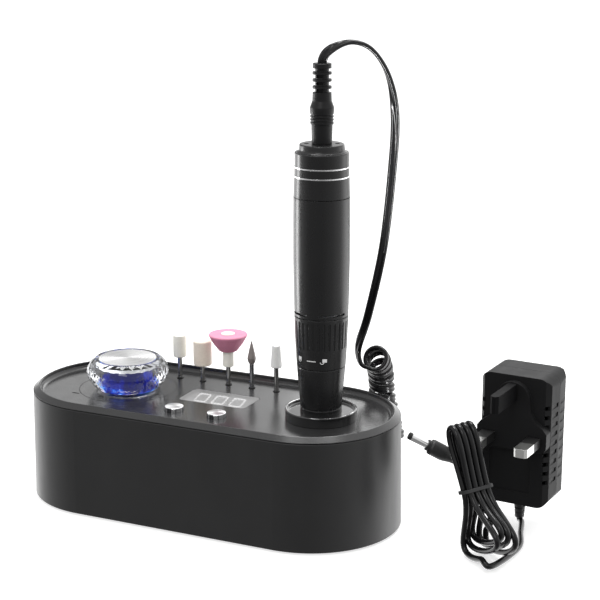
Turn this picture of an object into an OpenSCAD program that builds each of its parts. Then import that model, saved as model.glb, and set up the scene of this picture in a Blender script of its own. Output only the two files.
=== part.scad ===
// Desktop electric nail drill: racetrack control box, crystal speed knob, five storage bits,
// and a motor handpiece that stands nose down in its holder on a coiled cord.
// Millimetres. +X along the box to the handpiece end, +Y to the back, +Z up.
// The origin is the middle of the box on the table top.

/* [Control box] */
// Distance between the centres of the two round ends
box_straight = 104; // [90:1:120]
// Radius of the round ends at the table
box_foot_r = 42.6; // [42.3:0.1:43.5]
// Radius of the round ends at the seam under the chamfer
box_seam_r = 41.9; // [41.5:0.1:42.2]
// Height of the seam between shell and top cover
seam_z = 52.4; // [51.8:0.1:53]
// Height of the top of the rim
rim_z = 55; // [54.5:0.1:56]
// Radius of the inner edge of the rim
rim_r = 38.3; // [37.8:0.1:38.8]
// Height of the recessed deck
deck_z = 52; // [51.8:0.1:52.2]
// Wall thickness of the moulded shells
wall = 2.4; // [2:0.1:3]

/* [Speed knob] */
// Largest radius of the crystal
knob_r = 20.2; // [18:0.1:21]
// Height of the crystal
knob_h = 14.4; // [12:0.1:16]
// Radius of the disc let into the deck round the knob
knob_plate_r = 23.8; // [22:0.1:24.5]

/* [Controls] */
// Radius of a push button
button_r = 4.5; // [4:0.1:5]
// How far a button stands above the deck
button_proud = 2.2; // [1.6:0.1:2.8]
// Travel of a button
button_travel = 0.6; // [0.3:0.1:0.7]
// Length of the display window
display_w = 35.8; // [34:0.1:37]
// Depth of the display window
display_d = 18.3; // [17:0.1:19]

/* [Bits] */
// Radius of a standard nail bit shank
shank_r = 1.175; // [1.175:0.001:1.176]
// Distance between neighbouring bits
bit_pitch = 13.4; // [12.5:0.1:14]
// Depth of a shank below the deck
bit_depth = 18; // [15:1:20]

/* [Handpiece] */
// Largest radius of the barrel
barrel_r = 12.9; // [12.7:0.1:13.2]
// Height of the holder lip above the deck
cup_h = 4.9; // [4.4:0.1:5.4]
// Outer radius of the holder
cup_r = 16.7; // [16:0.1:18]
// Number of grip ribs on the lock collar
rib_count = 30; // [24:1:36]

/* [Cord] */
// Half width of the flat twin cord
cord_half_w = 2.1; // [1.7:0.05:2.15]
// Half thickness of the flat twin cord
cord_half_t = 1.05; // [0.8:0.05:1.2]
// Radius of the coil, to the middle of the cord
coil_r = 5.6; // [5:0.1:6]
// Distance from turn to turn where the coil is closed up
coil_pitch = 4.6; // [4.5:0.1:5.5]

/* [Adapter] */
// Width of the adapter case
adapter_w = 35; // [35:0.5:38]
// Depth of the adapter case
adapter_d = 23; // [22:0.5:26]
// Height of the adapter case
adapter_h = 62; // [62:0.5:66]
// Turn of the adapter case about its upright axis
adapter_turn = -4; // [-15:1:10]
// Height of the case bottom above the table, left for its strain relief
adapter_z = 14; // [13.5:0.5:18]
// Radius of the round output cable
cable_r = 1.4; // [1.3:0.05:1.5]
// Length of the tied bundle of cable
hank_h = 59; // [56:1:66]

/* [Hidden] */
$fn = 64;
eps = 0.01;
knob_at = [-47.6, 1.2];              // centre of the knob
button_at = [[-9.7, -20.4], [12.8, -20.4]];
display_at = [1.4, 4.2];             // centre of the display window
display_size = [display_w, display_d];
window_t = 0.7;                      // thickness of the display window
status_at = [-66.2, -17.4];          // status light slot
bit_first = [-32.2, 26];             // left bit of the row
hand_at = [57.3, -0.8];              // axis of the handpiece in its holder
adapter_at = [143, 37];              // middle of the adapter case
gap = 0.25;                          // visible seam between parts
slide_gap = 0.15;                    // clearance round pieces that move
nose_z = 43;                         // tip of the handpiece nose, resting in the holder
cup_floor_z = deck_z + cup_h - 1.5;  // dished face inside the holder lip
socket_r = 9.7;                      // holder socket that takes the nose
spindle_r = 8.2;                     // outside of the spindle housing
plug_r = 2.6;                        // barrel of the cord plug
collar_z = [77.8, 101.4];            // lock collar, lower and upper seam
barrel_top_z = 156.3;                // seam between barrel and tail sleeve
ring_z = [165.5, 169.7];             // lower edges of the two polished rings
ring_h = 0.6;
cap_shoulder_z = 176.6;
cap_top_z = 180.2;
boot_top_z = 215.8;
jack_z = 22;                         // height of the rear sockets
cord_jack_x = 44;
dc_jack_x = -12;
rear_y = box_foot_r - (box_foot_r - box_seam_r) * jack_z / seam_z;
board_z = 30;                        // underside of the main board
button_pad_z = deck_z - 3.65;        // underside of the button flanges
foot_h = 1;
foot_at = [[0, 0], [-66, -15], [-66, 15], [66, -15], [66, 15]];
screw_at = [for (x = [-58, 58], y = [-26, 26]) [x, y]];

// ---------- shared shapes ----------

// Sweeps a half section of [radius, height] points round the racetrack plan of the box.
module racetrack(section) {
  for (end = [-1, 1])
    translate([end * box_straight / 2, 0, 0])
      rotate([0, 0, -90 * end])
        rotate_extrude(angle = 180) polygon(section);
  for (side = [0, 1])
    mirror([0, side, 0])
      translate([-box_straight / 2, 0, 0])
        rotate([90, 0, 90])
          linear_extrude(box_straight) polygon(section);
}

// Radius of the box wall at height z.
function box_r(z) = box_foot_r - (box_foot_r - box_seam_r) * z / seam_z;

// Points of an arc in the section plane, from angle a to angle b.
function arc(cx, cy, r, a, b, steps = 5) =
  [for (i = [0:steps]) [cx + r * cos(a + (b - a) * i / steps), cy + r * sin(a + (b - a) * i / steps)]];

// A solid of revolution from a half section of [radius, height] points.
module turned(section) {
  rotate_extrude() polygon(section);
}

// A tube from z0 to z1.
module tube(outer, inner, z0, z1) {
  translate([0, 0, z0]) difference() {
    cylinder(r = outer, h = z1 - z0);
    translate([0, 0, -1]) cylinder(r = inner, h = z1 - z0 + 2);
  }
}

// A block with round vertical edges, centred on the origin in plan.
module round_block(size, r, h) {
  for (turn = [0, 1])
    translate([-size[0] / 2 + r * turn, -size[1] / 2 + r * (1 - turn), 0])
      cube([size[0] - 2 * r * turn, size[1] - 2 * r * (1 - turn), h]);
  for (x = [-1, 1], y = [-1, 1])
    translate([x * (size[0] / 2 - r), y * (size[1] / 2 - r), 0]) cylinder(r = r, h = h);
}

// A solid that follows path points p, with an oval section that lies along the side vectors s.
function unit(v) = v / norm(v);
module swept(p, s, half_w, half_t, sides = 10) {
  n = len(p);
  tangents = [for (i = [0:n - 1]) unit(p[min(i + 1, n - 1)] - p[max(i - 1, 0)])];
  points = [for (i = [0:n - 1])
    let (flat = unit(s[i] - (s[i] * tangents[i]) * tangents[i]), out = cross(tangents[i], flat))
    for (k = [0:sides - 1])
      p[i] + half_w * cos(360 * k / sides) * flat + half_t * sin(360 * k / sides) * out];
  faces = concat(
    [[for (k = [sides - 1:-1:0]) k]],
    [[for (k = [0:sides - 1]) (n - 1) * sides + k]],
    [for (i = [0:n - 2], k = [0:sides - 1]) let (next = (k + 1) % sides)
      [i * sides + k, i * sides + next, (i + 1) * sides + next, (i + 1) * sides + k]]);
  polyhedron(points, [for (f = faces) [for (k = [len(f) - 1:-1:0]) f[k]]], convexity = 10);
}

// ---------- control box ----------

module base_shell() {
  boss_r = 3.6;
  color("#1b1b1c") difference() {
    union() {
      racetrack([
        [box_r(foot_h), foot_h], [box_r(foot_h) - 0.4, foot_h], [box_r(foot_h) - wall, foot_h],
        [box_seam_r - wall, seam_z - 0.1], [box_seam_r - 0.3, seam_z - 0.1], [box_seam_r, seam_z - 0.4]]);
      for (at = screw_at)
        translate([at[0], at[1], foot_h + wall]) cylinder(r = boss_r, h = board_z - foot_h - wall);
      for (x = [-1, 1], y = [0, 1])
        mirror([0, y, 0]) translate([x * 58 - 1, 28, foot_h + wall + 2]) cube([2, 12.2, 22]);
    }
    for (at = screw_at)
      translate([at[0], at[1], 0]) cylinder(r = 1.25, h = 20);
    translate([cord_jack_x, rear_y + 3, jack_z]) rotate([90, 0, 0]) cylinder(r = 4.6, h = 8);
    translate([dc_jack_x, rear_y + 3, jack_z]) rotate([90, 0, 0]) cylinder(r = 4.1, h = 8);
  }
}

module top_cover() {
  lip_r = box_seam_r - wall - 0.1;
  edge_r = 0.5;
  fillet = 2;
  color("#1f1f20") difference() {
    racetrack(concat(
      [[0, deck_z - 2.6], [lip_r - 1.8, deck_z - 2.6], [lip_r - 1.8, seam_z - 5], [lip_r, seam_z - 5],
       [lip_r, seam_z + 0.15], [box_seam_r - 0.2, seam_z + 0.15], [box_seam_r, seam_z + 0.35],
       [box_seam_r, seam_z + 0.5]],
      arc(rim_r + edge_r, rim_z - edge_r, edge_r, 52, 180, 5),
      [[rim_r - 0.1, deck_z + fillet * 0.7]],
      arc(rim_r - 0.35 - fillet, deck_z + fillet, fillet, -20, -90, 5),
      [[0, deck_z]]));
    // let-in disc round the knob, and its through hole
    translate([knob_at[0], knob_at[1], deck_z - 1.6]) cylinder(r = knob_plate_r + gap, h = 3);
    translate([knob_at[0], knob_at[1], deck_z - 5]) cylinder(r = 19, h = 6);
    // display window, with a ledge that carries it
    translate([display_at[0], display_at[1], deck_z - window_t])
      round_block(display_size + [0.3, 0.3], 2.6, 3);
    translate([display_at[0], display_at[1], deck_z - 5])
      round_block(display_size - [3, 3], 1.6, 6);
    for (at = button_at)
      translate([at[0], at[1], deck_z - 5]) cylinder(r = button_r + slide_gap, h = 8);
    for (i = [0:4])
      translate(bit_at(i) - [0, 0, 5]) cylinder(r = 1.7, h = 8);
    translate([hand_at[0], hand_at[1], deck_z - 5]) cylinder(r = 12.3, h = 8);
    translate([status_at[0], status_at[1], deck_z - 5]) round_block([4, 0.9], 0.4, 8);
  }
}

module bottom_plate() {
  plate_r = box_foot_r - wall - 0.15;
  color("#191919") difference() {
    racetrack([[0, foot_h], [plate_r, foot_h], [plate_r, foot_h + wall], [0, foot_h + wall]]);
    for (at = screw_at) {
      translate([at[0], at[1], 0]) cylinder(r = 1.7, h = 6);
      translate([at[0], at[1], foot_h - 1]) cylinder(r = 3.1, h = 2.4);
    }
    for (at = foot_at) translate([at[0], at[1], 0]) cylinder(r = 6.1, h = foot_h + 0.6);
    // two rows of cooling slots
    for (x = [-4:4], y = [-1, 1])
      translate([x * 6 - 0.75, y * 14 - 6, 0]) cube([1.5, 12, 6]);
  }
}

module rubber_feet() {
  color("#111111") for (at = foot_at)
    translate([at[0], at[1], 0])
      turned([[0, 0], [5.2, 0], [5.8, 0.6], [6, 1], [6, foot_h + 0.6], [0, foot_h + 0.6]]);
}

module base_screws() {
  color("#8d8f92") for (at = screw_at)
    translate([at[0], at[1], foot_h + 0.2]) difference() {
      union() {
        cylinder(r = 2.9, h = 1.2);
        cylinder(r = 1.2, h = 14);
      }
      for (turn = [0, 90]) rotate([0, 0, turn])
        translate([-1.6, -0.3, -1]) cube([3.2, 0.6, 1.6]);
    }
}

// ---------- electronics ----------

module main_board() {
  color("#12592f") difference() {
    translate([-66, -30, board_z]) cube([108, 60, 1.6]);
    for (at = [[-58, -26], [-58, 26]])
      translate([at[0], at[1], board_z - 1]) cylinder(r = 1.6, h = 4);
  }
}

module board_components() {
  top = board_z + 1.6;
  color("#26282b") {
    translate([-5, -16, top]) cube([10, 10, 1.6]);
    translate([-30, 8, top]) cube([12, 6, 2]);
    translate([20, 2, top]) cube([9, 7, 4.5]);
    for (x = [0:2]) translate([23 + x * 7, -22, top]) cylinder(r = 2.5, h = 8);
    translate([cord_jack_x - 12, 20, top]) cube([8, 6, 6]);
    translate([-16, 15, top]) cube([8, 6, 6]);
    // push switches under the two buttons
    for (at = button_at) translate([at[0], at[1], top]) {
      translate([-3, -3, 0]) cube([6, 6, 4]);
      translate([0, 0, 4 - eps]) cylinder(r = 1.6, h = button_pad_z - button_travel - top - 4 - 0.04);
    }
  }
}

module display_module() {
  color("#d9d9d6") translate([display_at[0], display_at[1], board_z + 1.6 + eps])
    round_block(display_size - [4, 4.6], 0.8, deck_z - window_t - 0.4 - board_z - 1.6);
}

// One seven-segment figure, lit as a nought, with strokes t wide and bars twice as deep.
module digit_zero(w, h, t) {
  lean = -0.2 * h;
  for (x = [0, 1], y = [0, 1])
    translate([(x - 0.5) * (w - t) + (y - 0.5) * lean / 2, (y - 0.5) * h / 2, 0])
      multmatrix([[1, lean / h, 0, 0], [0, 1, 0, 0], [0, 0, 1, 0], [0, 0, 0, 1]])
        translate([-t / 2, -h / 4 + t, 0]) cube([t, h / 2 - t * 1.6, 0.3]);
  for (y = [-1, 1])
    translate([y * lean / 2, y * (h / 2 - t), 0])
      translate([-(w - 2.8 * t) / 2, -t, 0]) cube([w - 2.8 * t, 2 * t, 0.3]);
}

module display_digits() {
  color("#ffffff") for (i = [-1:1])
    translate([display_at[0] + i * 9.4, display_at[1] + 0.4, deck_z - window_t - 0.38])
      digit_zero(6.4, 12, 0.55);
}

module display_window() {
  color("#4a4a4c") translate([display_at[0], display_at[1], deck_z - window_t])
    round_block(display_size, 2.5, window_t);
}

module status_lens() {
  color("#0c0c0c") translate([status_at[0], status_at[1], deck_z - 3])
    round_block([3.8, 0.7], 0.3, 2.8);
}

// ---------- speed knob ----------

led_at_r = 11.4;

module knob_plate() {
  color("#1f1f20") translate([knob_at[0], knob_at[1], 0]) difference() {
    tube(knob_plate_r, 4.2, deck_z - 1.55, deck_z);
    for (i = [0:7]) rotate([0, 0, 45 * i])
      translate([led_at_r, 0, deck_z - 2]) cylinder(r = 1.5, h = 3);
  }
}

module led_ring_board() {
  color("#e9e9e4") translate([knob_at[0], knob_at[1], 0]) {
    tube(17.5, 8.6, deck_z - 2.76, deck_z - 1.56);
    for (i = [0:7]) rotate([0, 0, 45 * i])
      translate([led_at_r, 0, deck_z - 1.56 - eps]) cylinder(r = 1.3, h = 1.3);
  }
}

module encoder_body() {
  color("#6d7076") translate([knob_at[0], knob_at[1], 0]) difference() {
    union() {
      translate([-8, -8, board_z + 1.6 + eps]) cube([16, 16, 8]);
      translate([0, 0, board_z + 9]) cylinder(r = 3.9, h = deck_z + 0.9 - board_z - 9);
    }
    translate([0, 0, board_z + 3.6]) cylinder(r = 3.07, h = 30);
  }
}

knob_z = deck_z + 1.0;               // underside of the crystal
core_r = knob_r * 0.68;
core_h = knob_h * 0.66;
disc_r = knob_r * 0.7;
disc_h = 0.5;

module speed_knob() {
  girdle_z = knob_h * 0.62;
  color("#dfe8ee", 0.4) translate([knob_at[0], knob_at[1], knob_z]) difference() {
    turned([[0, 0], [knob_r * 0.76, 0], [knob_r * 0.93, girdle_z * 0.55], [knob_r, girdle_z],
            [knob_r * 0.95, knob_h * 0.83], [knob_r * 0.79, knob_h], [0, knob_h]]);
    translate([0, 0, -1]) cylinder(r = core_r + 0.05, h = core_h + 1.02);
    translate([0, 0, knob_h - disc_h - 0.02]) cylinder(r = disc_r + 0.05, h = 2);
  }
}

module knob_core() {
  color("#2238c8") translate([knob_at[0], knob_at[1], knob_z]) difference() {
    cylinder(r = core_r, h = core_h);
    translate([0, 0, -1]) cylinder(r = 7, h = 2.2);
    translate([0, 0, -1]) cylinder(r = 3.05, h = 9);
  }
}

module knob_disc() {
  color("#e4e6e8") translate([knob_at[0], knob_at[1], knob_z + knob_h - disc_h])
    turned([[0, 0], [disc_r, 0], [disc_r, disc_h - 0.15], [disc_r - 0.15, disc_h], [0, disc_h]]);
}

module encoder_shaft() {
  color("#b9bcc0") translate([knob_at[0], knob_at[1], 0])
    translate([0, 0, board_z + 3.8]) cylinder(r = 3, h = knob_z + 7.8 - board_z - 3.8);
}

// ---------- buttons ----------

module button(at) {
  cap_top = deck_z + button_proud;
  pad_z = button_pad_z;
  color("#d7d9db") translate([at[0], at[1], 0])
    turned(concat(
      [[0, pad_z + 0.02], [button_r + 1, pad_z + 0.02], [button_r + 1, pad_z + 1], [button_r, pad_z + 1]],
      [[button_r, cap_top - 0.35]],
      arc(button_r - 0.35, cap_top - 0.35, 0.35, 0, 70, 3),
      [[button_r * 0.5, cap_top + 0.12], [0, cap_top + 0.18]]));
}

module mode_button() { button(button_at[0]); }
module power_button() { button(button_at[1]); }

// ---------- bits ----------

// The felt and cone bits stand a little apart, so that each one lifts out past the other.
bit_shift = [0, -0.5, 0.5, 0, 0];
function bit_at(i) = [bit_first[0] + i * bit_pitch + bit_shift[i], bit_first[1], deck_z];

module bit_sockets() {
  color("#101010") for (i = [0:4]) translate(bit_at(i)) difference() {
    translate([0, 0, -bit_depth - 1]) cylinder(r = 1.65, h = bit_depth + 1.35);
    translate([0, 0, -bit_depth]) cylinder(r = shank_r + 0.05, h = bit_depth + 5);
  }
}

// A steel shank from its seat in the socket up to top, above the deck.
module shank(i, top) {
  color("#9a9ca0") translate(bit_at(i))
    turned([[0, -bit_depth + 0.1], [shank_r - 0.3, -bit_depth + 0.1], [shank_r, -bit_depth + 0.4],
            [shank_r, top], [0, top]]);
}

// A head with section points above the deck, bored for its shank up to bore_top.
module head(i, section, bore_top) {
  translate(bit_at(i)) difference() {
    turned(section);
    translate([0, 0, section[0][1] - 1])
      cylinder(r = shank_r + 0.005, h = bore_top - section[0][1] + 1.01);
  }
}

module ceramic_bit_shank() { shank(0, 19); }
module ceramic_bit_head() {
  color("#f1efe4") head(0, [[0, 11.2], [2.9, 11.2], [3.3, 11.6], [3.3, 22.2], [2.9, 22.6], [0, 22.6]], 19);
}

module felt_bit_shank() { shank(1, 18.5); }
module felt_bit_head() {
  color("#efe3cf") head(1, [[0, 8.5], [4.1, 8.5], [4.6, 9], [4.6, 20.7], [4.1, 21.2], [0, 21.2]], 18.5);
}

module cone_bit_shank() { shank(2, 24); }
module cone_bit_hub() {
  color("#efeee6") head(2,
    [[0, 9.6], [2.4, 9.6], [2.7, 9.9], [2.7, 16.6], [3.1, 17.5], [3.1, 25.6], [3.4, 25.9],
     [3.4, 26.4], [0, 26.4]], 24);
}
module cone_bit_head() {
  cone = [[3.3, 17.6], [4.1, 17.6], [4.6, 17.9], [7.2, 21.3], [9.3, 24.9], [9.55, 25.6],
          [9.3, 26.1], [3.5, 26.1], [3.5, 25.8], [3.15, 25.5], [3.15, 17.6]];
  color("#e0709a") translate(bit_at(2)) turned(cone);
}

module flame_bit() {
  profile = [for (t = [0:0.1:1]) [2.15 * pow(1 - t, 0.85), 15.3 + 9 * t]];
  color("#8c827c") translate(bit_at(3))
    turned(concat(
      [[0, -bit_depth + 0.1], [shank_r, -bit_depth + 0.4], [shank_r, 12.6], [1.7, 13.2], [2.05, 14.4]],
      [for (p = profile) [max(p[0], 0.02), p[1]]], [[0, 24.35]]));
}

module taper_bit_shank() { shank(4, 21); }
module taper_bit_head() {
  color("#f4f4ee") head(4, [[0, 12.4], [2.5, 12.4], [2.85, 12.8], [2.1, 23.3], [1.8, 23.6], [0, 23.6]], 21);
}

// ---------- holder and rear sockets ----------

module holder_cup() {
  lip = 0.55;
  lip_r = cup_r - 0.75;
  color("#0d0d0d") translate([hand_at[0], hand_at[1], 0]) difference() {
    turned(concat(
      [[0, 12], [7.2, 12], [7.2, 36], [12.2, 40], [12.2, deck_z], [cup_r - 0.1, deck_z],
       [cup_r, deck_z + 0.1], [cup_r, deck_z + cup_h - 0.9]],
      arc(cup_r - 0.5, deck_z + cup_h - 0.55, lip, 20, 160, 6),
      [[lip_r - 0.45, cup_floor_z + 0.2], [lip_r - 0.8, cup_floor_z], [0, cup_floor_z]]));
    // bit well, seat and socket
    turned([[0, 14], [5.2, 14], [5.2, nose_z - 0.02], [6.1, nose_z - 0.02], [socket_r, nose_z + 5.2],
            [socket_r, cup_floor_z + 5], [0, cup_floor_z + 5]]);
  }
}

// A panel socket that faces the back, centred at x, with radii of its body, flange and bore.
module panel_jack(x, body_r, flange_r, bore_r, depth) {
  translate([x, rear_y, jack_z]) rotate([-90, 0, 0]) difference() {
    union() {
      translate([0, 0, -depth]) cylinder(r = body_r, h = depth + 0.5);
      translate([0, 0, 0.12]) cylinder(r = flange_r, h = 0.8);
    }
    translate([0, 0, 1.8 - depth]) cylinder(r = bore_r, h = depth + 5);
  }
}

module cord_jack() { color("#151515") panel_jack(cord_jack_x, 4.5, 6, 2.6, 12); }
module dc_jack() { color("#151515") panel_jack(dc_jack_x, 4, 5.4, 1.8, 12); }

// ---------- handpiece ----------

module at_hand() {
  translate([hand_at[0], hand_at[1], 0]) children();
}

module barrel() {
  z = collar_z[1];
  slot_z = z + 1.6;
  color("#232324") at_hand() difference() {
    turned([[11.2, z + gap], [12.2, z + gap], [12.4, z + gap + 0.2], [12.65, z + 11], [barrel_r, z + 26],
            [barrel_r, z + 42], [12.82, barrel_top_z], [11.2, barrel_top_z]]);
    // cooling slots: four arcs cut through the wall
    for (i = [0:3]) rotate([0, 0, 90 * i - 73]) translate([0, 0, slot_z])
      rotate_extrude(angle = 65) translate([10.5, 0]) square([3, 1]);
  }
}

module tail_sleeve() {
  top = ring_z[1];
  color("#232324") at_hand()
    turned([[9.6, barrel_top_z + 0.15], [12.6, barrel_top_z + 0.15], [12.78, barrel_top_z + 0.35],
            [12.5, ring_z[0]], [11.6, ring_z[0]], [11.6, ring_z[0] + ring_h],
            [12.36, ring_z[0] + ring_h], [12.36, top], [9.6, top]]);
}

module polished_rings() {
  color("#f2f2f2") at_hand() {
    tube(12.5, 11.62, ring_z[0] + eps, ring_z[0] + ring_h - eps);
    tube(12.42, 11.2, ring_z[1] + eps, ring_z[1] + ring_h - eps);
  }
}

module end_cap() {
  base = ring_z[1] + ring_h;
  color("#272725") at_hand() difference() {
    turned(concat(
      [[0, base - 4], [9.5, base - 4], [9.5, base - ring_h], [11.1, base - ring_h], [11.1, base],
       [12.25, base], [12.25, cap_shoulder_z - 0.5]],
      arc(12.25 - 0.5, cap_shoulder_z - 0.5, 0.5, 0, 80, 3),
      [[11.1, cap_shoulder_z]],
      arc(11.75, cap_shoulder_z + 1.4, 1.4, 245, 180, 4),
      [[10.15, cap_top_z - 0.5], [9.9, cap_top_z - 0.1], [9.6, cap_top_z], [0, cap_top_z]]));
    translate([0, 0, base - 5]) cylinder(r = plug_r + 0.05, h = 30);
    for (i = [0:3]) rotate([0, 0, 90 * i + 24]) translate([6.9, 0, base - 5]) cylinder(r = 1.15, h = 30);
  }
}

module nose_cone() {
  top = collar_z[0] - gap;
  color("#191919") at_hand() difference() {
    turned([[0, nose_z], [5.6, nose_z], [5.9, nose_z + 0.25], [9.3, nose_z + 5.4], [9.62, nose_z + 6.6],
            [9.62, 57.6], [9.4, 57.8], [9.4, 58.1], [9.62, 58.3], [9.95, 62.4], [11.2, top - 0.3],
            [11.1, top], [0, top]]);
    translate([0, 0, nose_z - 1]) cylinder(r = 4.6, h = 10);
    translate([0, 0, nose_z + 7]) cylinder(r = spindle_r + 0.08, h = 40);
  }
}

module spindle_housing() {
  color("#9fa2a6") at_hand() {
    tube(spindle_r, 7.2, nose_z + 7.1, 105.5);
    tube(11.1, spindle_r - eps, collar_z[1] + gap + 0.1, 101.6);
  }
}

module motor_can() {
  color("#8b8e92") at_hand() difference() {
    union() {
      translate([0, 0, 106]) cylinder(r = 11.1, h = 44);
      translate([0, 0, 150 - eps]) cylinder(r = 3.5, h = 2.5);
    }
    translate([0, 0, 105]) cylinder(r = 1.6, h = 60);
  }
}

module spindle_bearings() {
  color("#c9ccd0") at_hand() for (z = [65, 95]) {
    tube(7.18, 6, z, z + 5);
    tube(4.9, 4.03, z, z + 5);
    for (i = [0:7]) rotate([0, 0, 45 * i]) translate([5.45, 0, z + 2.5]) sphere(r = 0.53, $fn = 24);
  }
}

module plug_boot() {
  rib = [for (k = [0:2]) 204.6 + 3.1 * k];
  color("#2a2a2b") at_hand() difference() {
    turned(concat(
      [[0, cap_top_z + 0.05], [4.55, cap_top_z + 0.05], [4.75, 188.7], [5.2, 189.1]],
      [for (z = [189.9, 191.3, 192.7]) each [[5.25, z], [4.9, z + 0.2], [4.9, z + 0.6], [5.25, z + 0.8]]],
      [[5.4, 195.2], [5.38, 196.4]],
      [[4.35, 199.3], [4.2, 203], [3.1, 203.2]],
      [for (z = rib) each [[3.1, z], [4.25, z + 0.15], [4.25, z + 1.25], [3.1, z + 1.4]]],
      [[3.1, 213.5], [4.15, 213.65], [4.15, boot_top_z - 0.2], [3.9, boot_top_z], [0, boot_top_z]]));
    // windows that let the boot bend
    for (k = [0:3], side = [-1, 1])
      translate([-1.6, side * 2.6 - 1, 203.3 + 3.1 * k]) cube([3.2, 2, k == 3 ? 0.1 : 1.2]);
  }
}

module plug_barrel() {
  color("#c4c6c9") at_hand()
    turned([[0, 167], [1.9, 167], [plug_r, 167.8], [plug_r, cap_top_z + 0.04], [0, cap_top_z + 0.04]]);
}

// ---------- lock collar and chuck ----------

grip_z = collar_z[0] + 9;            // the collar widens from here
function collar_r(z) = z < grip_z ? 11.3 + (z - collar_z[0]) * 0.5 / 9
  : 11.8 + (z - grip_z) * 0.6 / (collar_z[1] - grip_z);

module lock_collar() {
  z0 = collar_z[0];
  z1 = collar_z[1];
  rib_z = [z0 + 9.2, z1 - 1.6];
  tilt = atan(0.6 / (z1 - grip_z));
  color("#202021") at_hand() difference() {
    turned([[spindle_r + 0.08, z0], [collar_r(z0) - 0.15, z0], [collar_r(z0), z0 + 0.15],
            [collar_r(grip_z), grip_z], [collar_r(z1), z1 - 0.2], [collar_r(z1) - 0.2, z1],
            [spindle_r + 0.08, z1]]);
    for (i = [0:rib_count - 1]) rotate([0, 0, 360 / rib_count * i])
      translate([collar_r(rib_z[0]) + 0.12, 0, rib_z[0]]) rotate([0, tilt, 0])
        cylinder(r = 0.55, h = rib_z[1] - rib_z[0]);
  }
}

// Raised marks: a closed padlock, a dash and an open padlock, drawn for a handpiece held nose down.
module lock_marks() {
  z = collar_z[0] + 4.4;
  low = collar_r(z - 3) + eps;
  high = collar_r(z + 3) + eps;
  color("#f5f5f5") at_hand() intersection() {
    turned([[low, z - 3], [low + 0.16, z - 3], [high + 0.16, z + 3], [high, z + 3]]);
    union() {
      mark(-31, z) padlock(0);
      mark(1, z) square([4.4, 0.4], center = true);
      mark(32, z) padlock(1);
    }
  }
}

// Stands a flat drawing up at an angle round the collar, measured from the front.
module mark(angle, z) {
  rotate([0, 0, angle - 90]) translate([10, 0, z]) rotate([90, 0, 90])
    linear_extrude(4) children();
}

module padlock(open) {
  translate([0, 0.55]) square([2.1, 1.6], center = true);
  translate([open * -1.2, -0.2]) difference() {
    circle(r = 1);
    circle(r = 0.68);
    translate([-2, 0]) square([4, 4]);
  }
}

module release_sleeve() {
  color("#b4b7bb") at_hand() tube(7.12, 4.6, 74, 91);
}

module motor_shaft() {
  color("#c9ccd0") at_hand() difference() {
    union() {
      translate([0, 0, 51]) cylinder(r = 4, h = 52);
      translate([0, 0, 103 - eps]) cylinder(r = 1.5, h = 56);
    }
    translate([0, 0, 50]) cylinder(r = 3.0, h = 14);
  }
}

module collet() {
  color("#a9acb0") at_hand() difference() {
    turned([[0, 44.6], [3.4, 44.6], [3.8, 45.1], [3.8, 50.6], [2.98, 50.75], [2.98, 63.5], [0, 63.5]]);
    translate([0, 0, 40]) cylinder(r = shank_r + 0.02, h = 22);
  }
}

// ---------- cord ----------

// The middle line of the coil climbs behind the box, then bends forwards over a radius. The
// coil and the cord above it face slightly different ways.
coil_foot = [66.2, 66, 24];
coil_rise = 21;
coil_bend_r = 24;
coil_bend = 72;
coil_lean_x = -5.5;
coil_end_q = 245;                    // where the cord leaves the last turn, seen from the front
coil_steps = 24;                     // path points a turn
coil_front = [sin(9), -cos(9), 0];
coil_side = [cos(9), sin(9), 0];
forward = [sin(25), -cos(25), 0];
sideways = [cos(25), sin(25), 0];
open_pitch = coil_pitch * coil_bend_r / (coil_bend_r - coil_r - 0.6);
bend_turns = coil_bend_r * coil_bend * PI / 180 / open_pitch;
coil_turns = coil_rise / coil_pitch + bend_turns;
coil_n = round(coil_turns * coil_steps);
// Distance along the middle line after a number of turns, and the lean there.
function coil_d(turns) = turns < coil_turns - bend_turns ? turns * coil_pitch
  : coil_rise + (turns - coil_turns + bend_turns) * open_pitch;
function coil_lean(d) = max(0, d - coil_rise) / coil_bend_r * 180 / PI;
function coil_mid(d) = let (a = coil_lean(d))
  coil_foot + [coil_lean_x * min(d, coil_rise) / coil_rise, 0, min(d, coil_rise)]
  + coil_bend_r * (1 - cos(a)) * coil_front + [0, 0, coil_bend_r * sin(a)];
function coil_axis(d) = let (a = coil_lean(d)) sin(a) * coil_front + [0, 0, cos(a)];
function coil_point(i) =
  let (turns = coil_turns * i / coil_n, d = coil_d(turns), a = coil_lean(d),
       q = coil_end_q + 360 * (coil_turns - turns))
    coil_mid(d)
      + coil_r * (cos(q) * coil_side + sin(q) * ([0, 0, sin(a)] - cos(a) * coil_front));

// Catmull-Rom curve through waypoints w, without its first and last point.
function spline(w, steps = 8) = [
  for (i = [1:len(w) - 3], k = [0:steps - 1])
    let (t = k / steps, a = w[i - 1], b = w[i], c = w[i + 1], d = w[i + 2])
      0.5 * (2 * b + (c - a) * t + (2 * a - 5 * b + 4 * c - d) * pow(t, 2)
             + (3 * b - a - 3 * c + d) * pow(t, 3))];

tail_start = [cord_jack_x, rear_y + 22.5, jack_z];

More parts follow.
